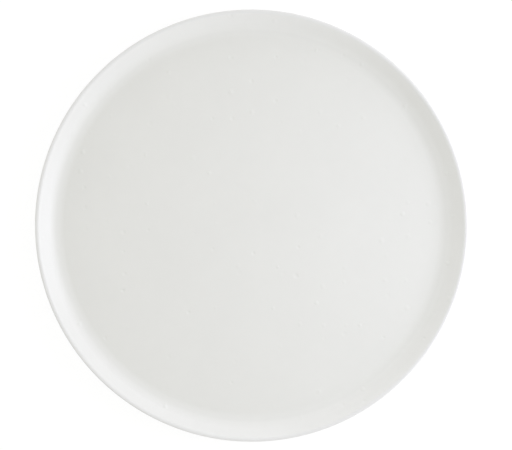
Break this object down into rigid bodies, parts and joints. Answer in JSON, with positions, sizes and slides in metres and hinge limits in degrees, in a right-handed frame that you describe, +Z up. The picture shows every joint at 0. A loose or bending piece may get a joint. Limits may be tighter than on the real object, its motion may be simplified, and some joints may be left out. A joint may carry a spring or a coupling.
{
  "type": "pizza plate",
  "caption": "Large round flat white porcelain plate with a wide level well, a low coved rim with a rounded lip, and a glazed underside standing on a bare foot ring.",
  "frame": {"origin": "centre of the plane that the foot ring stands on", "axes": "+Z up along the plate's turning axis, towards the open side of the well; X and Y lie in the table plane and are alike"},
  "size_m": [0.32, 0.32, 0.018],
  "materials": {
    "bisque": "matte",
    "satin_glaze": "satin"
  },
  "bodies": {
    "root": {"porcelain_body": "bisque", "face_glaze": "satin_glaze", "base_ring_glaze": "satin_glaze", "base_centre_glaze": "satin_glaze"}
  },
  "joints": []
}
